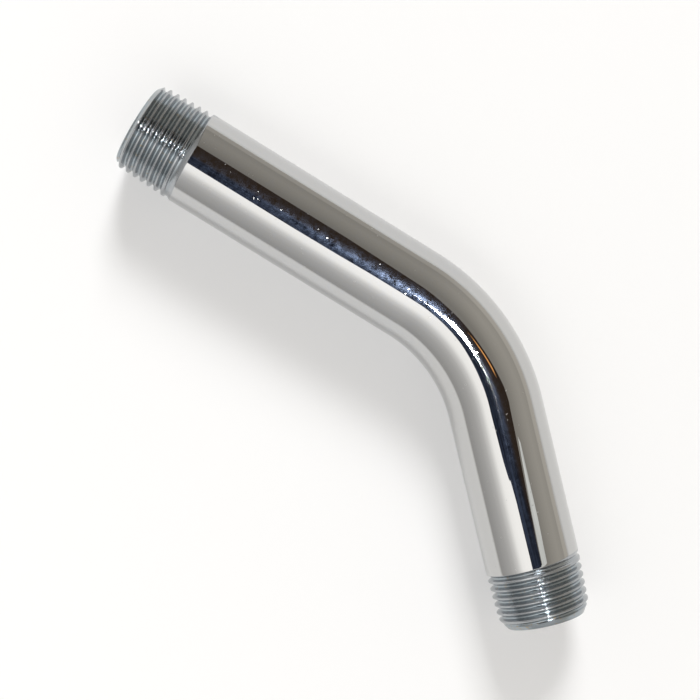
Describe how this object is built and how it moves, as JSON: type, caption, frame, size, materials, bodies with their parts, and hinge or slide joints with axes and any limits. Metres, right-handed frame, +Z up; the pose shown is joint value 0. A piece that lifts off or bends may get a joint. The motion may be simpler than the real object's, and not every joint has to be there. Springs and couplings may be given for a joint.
{
  "type": "shower arm",
  "caption": "Bent chromed brass pipe that carries water from a wall fitting down to a shower head, with a male taper pipe thread on each end.",
  "frame": {"origin": "centre of the wall-end face, on the pipe's centreline", "axes": "+X along the wall leg, from the wall end towards the bend; the bend turns towards -Y; +Z is up, square to the plane of the bend, with the arm lying on its side"},
  "size_m": [0.1412, 0.0634, 0.0214],
  "materials": {
    "chrome_plate": "polished"
  },
  "bodies": {
    "root": {"arm_tube": "chrome_plate"}
  },
  "joints": []
}
